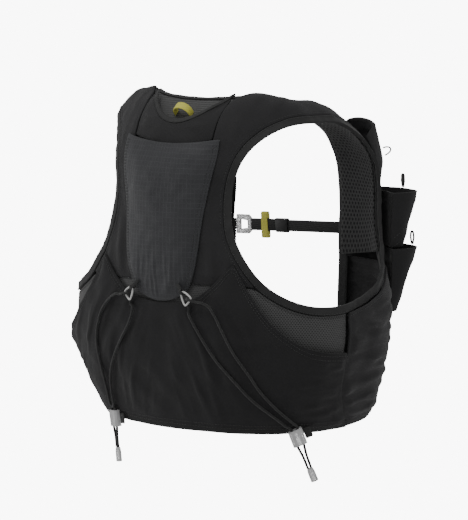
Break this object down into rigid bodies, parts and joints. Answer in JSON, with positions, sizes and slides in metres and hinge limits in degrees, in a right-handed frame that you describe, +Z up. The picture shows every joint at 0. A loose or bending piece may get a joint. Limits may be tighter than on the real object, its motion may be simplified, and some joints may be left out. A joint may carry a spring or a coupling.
{
  "type": "running hydration vest",
  "caption": "Close-fitting running vest with a back reservoir pocket, wrap-round lower pocket, flask pockets on the chest, elastic cords and a chest strap.",
  "frame": {"origin": "midway between the shoulder straps, level with the top of the seat of the straps on the wearer's shoulders", "axes": "+Z up along the wearer's spine, the wearer faces -Y, and the wearer's left is +X"},
  "size_m": [0.344, 0.2823, 0.4009],
  "materials": {
    "yoke": "matt woven stretch cloth",
    "ripstop": "light ripstop with a faint grid",
    "mesh": "open knitted mesh",
    "lining": "honeycomb knit",
    "binding": "smooth folded binding",
    "cord": "braided elastic cord",
    "ring": "satin light grey",
    "clear": "frosted light grey",
    "yellow": "bright woven tape",
    "webbing": "flat woven webbing",
    "slider": "satin moulded"
  },
  "bodies": {
    "root": {"shoulder_panel_left": "yoke", "shoulder_panel_right": "yoke", "front_panel_left": "yoke", "front_panel_right": "yoke", "chest_panel_left": "yoke", "chest_panel_right": "yoke", "upper_flask_pocket_left": "yoke", "upper_flask_pocket_right": "yoke", "lower_flask_pocket_left": "yoke", "lower_flask_pocket_right": "yoke", "lower_pocket": "yoke", "reservoir_flap": "yoke", "reservoir_pocket": "ripstop", "back_panel": "mesh", "waist_mesh": "mesh", "strap_lining_left": "lining", "strap_lining_right": "lining", "armhole_binding_left": "binding", "armhole_binding_right": "binding", "neck_binding": "binding", "mouth_binding": "binding", "ring_tab_left": "binding", "ring_tab_right": "binding", "hem_tab_left": "binding", "hem_tab_right": "binding", "pull_tab_left": "binding", "pull_tab_right": "binding", "elastic_cord_left": "cord", "elastic_cord_right": "cord", "chest_loop_left": "cord", "chest_loop_right": "cord", "flask_loop_left": "cord", "flask_loop_right": "cord", "triangle_ring_left": "ring", "triangle_ring_right": "ring", "cord_lock_left": "clear", "cord_lock_right": "clear", "cord_end_left": "clear", "cord_end_right": "clear", "hook_buckle": "clear", "hang_loop": "yellow", "buckle_tab": "yellow", "chest_webbing": "webbing", "chest_webbing_end": "webbing", "buckle_anchor": "webbing", "strap_slider": "slider"}
  },
  "joints": []
}
